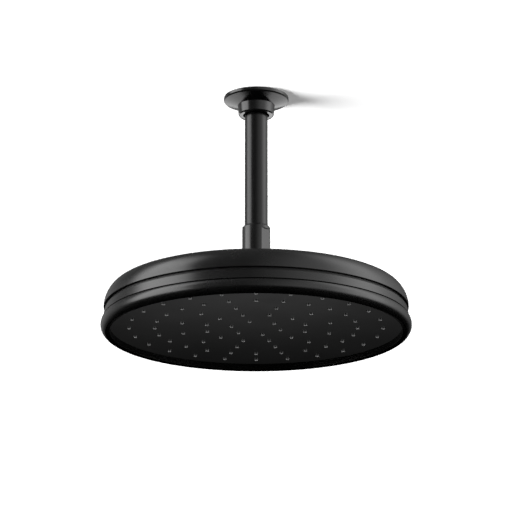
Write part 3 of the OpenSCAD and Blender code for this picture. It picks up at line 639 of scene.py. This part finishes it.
arm = turned("arm_tube", arm_section(), segments=144, reshape=thread_cut)
bare_arm_ends(arm)
seat(arm, "arm", "black_coat", "shower_arm")
coated("ball_fitting", fitting_section(), "arm", "swivel_fitting", segments=360, reshape=fitting_flats,
       sharp=14)
flange = coated("flange_cup", flange_section(), "flange", "ceiling_flange", flange_black, 256)
coated("fluted_collar", collar_section(), "head", "retaining_collar", segments=320, reshape=collar_flutes,
       sharp=30)
coated("crown_shell", shell_section(), "head", "top_shell")
coated("flared_band", band_section(), "head", "mid_ring")
coated("rim_bead", rim_section(), "head", "rim_ring")

master = nozzle_master()
rings, keys = rings_tree(master, soft_grey)
tips = grown("nozzle_tips", rings, {keys["Pitch"]: NOZZLE_PITCH * MM, keys["Level"]: NOZZLE_TIP * MM})
bpy.data.objects.remove(master)
mat = turned("nozzle_sheet", mat_section(), segments=192)
dress(mat, soft_grey)
seat(mat, "head", "grey_silicone")
seat(tips, "head", "grey_silicone", "nozzle_mat")

FINISHES = {
    "inlet_washer": seal_black, "filter_screen": steel, "flow_regulator": white_moulding,
    "regulator_o_ring": seal_black, "grip_o_ring": seal_black, "flange_bushing": bushing_black,
    "ball_liner": white_moulding, "ball_seal": seal_black, "backing_ring": white_moulding,
    "inlet_boss": brass, "boss_gasket": seal_black, "hub_o_ring": seal_black,
    "spacer_ring": groove_black, "chamber_back": white_moulding, "chamber_screws": steel,
    "ring_screws": steel, "face_plate": face_black,
}
for name, material in FINISHES.items():
    for slot in NODES[name].material_slots:
        slot.material = material


# ---------------------------------------------------------------- stage and light

def plane(name, corners, z):
    mesh = bpy.data.meshes.new(name)
    mesh.from_pydata([(x, y, z) for x, y in corners], [], [(0, 1, 2, 3)])
    obj = add_object(name, mesh)
    return obj


def bare_material(name):
    material = bpy.data.materials.new(name)
    material.use_nodes = True
    tree = material.node_tree
    tree.nodes.clear()
    return material, tree, tree.nodes.new("ShaderNodeOutputMaterial")


def seen_ray(tree):
    """1 for rays that look at a thing: camera, glossy and transmission rays."""
    path = tree.nodes.new("ShaderNodeLightPath")
    both = maths(tree, "MAXIMUM", path.outputs["Is Camera Ray"], path.outputs["Is Glossy Ray"])
    return maths(tree, "MAXIMUM", both, path.outputs["Is Transmission Ray"])


def show_front(tree, shader, out):
    """Shows a shader on the front of a face and nothing on its back."""
    clear = tree.nodes.new("ShaderNodeBsdfTransparent")
    geometry = tree.nodes.new("ShaderNodeNewGeometry")
    pick = tree.nodes.new("ShaderNodeMixShader")
    tree.links.new(geometry.outputs["Backfacing"], pick.inputs[0])
    tree.links.new(shader.outputs[0], pick.inputs[1])
    tree.links.new(clear.outputs[0], pick.inputs[2])
    tree.links.new(pick.outputs[0], out.inputs[0])


def ceiling():
    """The finished ceiling, white from below and not there from above. It keeps the flange's shadow."""
    half, front, back, gap = 3, -0.5, 6, 0.0002
    obj = plane("ceiling", [(-half, front), (-half, back), (half, back), (half, front)], gap)
    material, tree, out = bare_material("ceiling_white")
    paint = tree.nodes.new("ShaderNodeBsdfDiffuse")
    paint.inputs["Color"].default_value = grey(0.8)
    glow = tree.nodes.new("ShaderNodeEmission")
    tree.links.new(maths(tree, "MULTIPLY", seen_ray(tree), 0.3), glow.inputs["Strength"])
    both = tree.nodes.new("ShaderNodeAddShader")
    tree.links.new(paint.outputs[0], both.inputs[0])
    tree.links.new(glow.outputs[0], both.inputs[1])
    show_front(tree, both, out)
    obj.data.materials.append(material)
    obj.visible_shadow = obj.visible_diffuse = obj.visible_glossy = False
    return obj


def floor():
    """A pale floor under the head, seen only from above."""
    half, level = 9, -1.15
    obj = plane("floor", [(-half, -half), (half, -half), (half, half), (-half, half)], level)
    material = skin("pale_floor", grey(0.74), grey(0.78), 0.7, grain=60.0, patch=2.0, bump=0.02,
                    specular=0.2)
    nodes = material.node_tree.nodes
    show_front(material.node_tree, nodes["Principled BSDF"], nodes["Material Output"])
    obj.data.materials.append(material)
    obj.visible_glossy = obj.visible_diffuse = False
    return obj


def lobe(tree, angle, start, full, fall, end):
    """1 between full and fall degrees, down to 0 at start and end."""
    rise = span(tree, angle, start, full, smooth=True)
    drop = span(tree, angle, fall, end, 1.0, 0.0, smooth=True)
    return maths(tree, "MULTIPLY", rise, drop)


def dome_mesh():
    """A sphere round the whole scene, in metres."""
    radius, rings, segments = 8.0, 24, 72
    points = [(0, 0, -radius)]
    for i in range(1, rings):
        e = math.pi * (i / rings - 0.5)
        for s in range(segments):
            a = math.tau * s / segments
            points.append((radius * math.cos(e) * math.sin(a), -radius * math.cos(e) * math.cos(a),
                           radius * math.sin(e)))
    points.append((0, 0, radius))
    top = len(points) - 1
    faces = []
    for s in range(segments):
        t = (s + 1) % segments
        faces.append((0, 1 + s, 1 + t))
        for low in range(1, top - segments, segments):
            high = low + segments
            faces.append((low + s, high + s, high + t, low + t))
        faces.append((top - segments + s, top, top - segments + t))
    mesh = bpy.data.meshes.new("studio_dome")
    mesh.from_pydata(points, [], faces)
    return mesh


def studio_dome():
    """Soft patches that light the object: a tall one left, a wide one right, a dim one behind, dark below."""
    mesh = dome_mesh()
    obj = add_object("studio_dome", mesh)

    material, tree, out = bare_material("dome_light")
    where = tree.nodes.new("ShaderNodeTexCoord")
    unit = tree.nodes.new("ShaderNodeVectorMath")
    unit.operation = "NORMALIZE"
    tree.links.new(where.outputs["Object"], unit.inputs[0])
    x, y, z = split_axes(tree, unit.outputs[0])

    def product(*values):
        result = values[0]
        for value in values[1:]:
            result = maths(tree, "MULTIPLY", result, value)
        return result

    # Degrees round from the front, to the right, and degrees up. The softboxes' sides lean inwards.
    turn = product(maths(tree, "ARCTAN2", x, product(y, -1.0)), 180 / math.pi)
    rise = product(maths(tree, "ARCSINE", z), 180 / math.pi)
    lean = maths(tree, "SUBTRACT", rise, 20.0)
    left_turn = maths(tree, "MULTIPLY_ADD", lean, 0.22, turn)
    right_turn = maths(tree, "MULTIPLY_ADD", lean, -0.2, turn)

    left = product(lobe(tree, left_turn, -112, -94, -60, -47), lobe(tree, rise, -10, 1, 45, 73),
                   span(tree, rise, 10, 50, 4.3, 3.7))
    narrow = product(lobe(tree, right_turn, 48, 84, 90, 124), 1.75)
    wide = product(lobe(tree, right_turn, -12, 50, 100, 160), 0.95)
    right = product(maths(tree, "ADD", narrow, wide), lobe(tree, rise, -13, -1, 42, 84),
                    span(tree, rise, 10, 50, 1.1, 0.88))
    sky = product(span(tree, rise, -7, 3), 0.15)
    behind = product(lobe(tree, left_turn, -175, -150, -130, -90), 0.28, lobe(tree, rise, -22, -4, 10, 34))
    total = maths(tree, "ADD", maths(tree, "ADD", left, right), maths(tree, "ADD", sky, behind))
    glow = tree.nodes.new("ShaderNodeEmission")
    tree.links.new(total, glow.inputs["Strength"])
    tree.links.new(glow.outputs[0], out.inputs[0])
    mesh.materials.append(material)
    obj.visible_camera = obj.visible_shadow = False
    return obj


def link_light(lamp, receivers, blockers=None):
    """Lets a lamp light only the receivers, and only the blockers throw its shadows."""
    for label, members in (("receiver", receivers), ("blocker", blockers)):
        if members is None:
            continue
        group = bpy.data.collections.new(lamp.name + "_" + label)
        for obj in members:
            group.objects.link(obj)
        setattr(lamp.light_linking, label + "_collection", group)


def aim_lamp(lamp, way):
    lamp.rotation_mode = "QUATERNION"
    lamp.rotation_quaternion = Vector(way).to_track_quat("-Z", "Y")


def ceiling_wash(target, blockers):
    """A low light from the left that lights only the ceiling and throws the flange's shadow to the right."""
    data = bpy.data.lights.new("ceiling_wash", "SUN")
    data.angle = math.radians(48)
    data.energy = 24
    lamp = add_object("ceiling_wash", data)
    azimuth, rise = math.radians(-80.6), math.radians(8.0)
    aim_lamp(lamp, (-math.sin(azimuth) * math.cos(rise), math.cos(azimuth) * math.cos(rise), math.sin(rise)))
    link_light(lamp, [target], blockers)


def area(name, place, aim, size, power, receiver, mirrored=True):
    """A softbox for one piece, in metres and watts. mirrored lets the piece's gloss show it."""
    data = bpy.data.lights.new(name, "AREA")
    data.shape = "RECTANGLE"
    data.size, data.size_y = size
    data.energy = power
    lamp = add_object(name, data)
    lamp.location = place
    aim_lamp(lamp, Vector(aim) - Vector(place))
    lamp.visible_camera = False
    lamp.visible_glossy = mirrored
    link_light(lamp, [receiver])


parts = [obj for obj in bpy.data.objects if obj.type == "MESH"]
roof, ground = ceiling(), floor()
ceiling_wash(roof, parts)
link_light(studio_dome(), parts + [ground])
area("flange_kicker", place=(0, 0.6, -0.49), aim=(0, 0, -0.49), size=(1.4, 0.9), power=6.6,
     receiver=flange)
area("mouth_kicker", place=(0, 0.6, -0.3), aim=(0, 0, -0.3), size=(1.4, 1.2), power=11,
     receiver=NODES["flange_bushing"])
for name, side in (("nozzle_light_left", -1), ("nozzle_light_right", 1)):
    area(name, place=(side * 0.95, -0.05, -0.53), aim=(0, -0.02, FACE_Z * MM), size=(0.3, 0.12),
         power=6.5, receiver=tips)
area("face_fill", place=(0, -0.16, -0.5), aim=(0, -0.1599, -0.2), size=(0.1, 0.05), power=0.8,
     receiver=NODES["face_plate"], mirrored=False)

world = bpy.data.worlds.new("studio")
bpy.context.scene.world = world
world.use_nodes = True
background = world.node_tree.nodes["Background"]
background.inputs["Color"].default_value = (1, 1, 1, 1)
world.node_tree.links.new(seen_ray(world.node_tree), background.inputs["Strength"])

camera_data = bpy.data.cameras.new("camera")
camera_data.sensor_width = 36
camera_data.lens = 174.97
camera_data.shift_x = -0.0004
camera_data.clip_start, camera_data.clip_end = 0.05, 50
camera = add_object("camera", camera_data)
camera.location = (0, -2.369, -0.8843)
camera.rotation_euler = (math.radians(106.83), 0, 0)
bpy.context.scene.camera = camera

bpy.context.scene.view_settings.view_transform = "Standard"
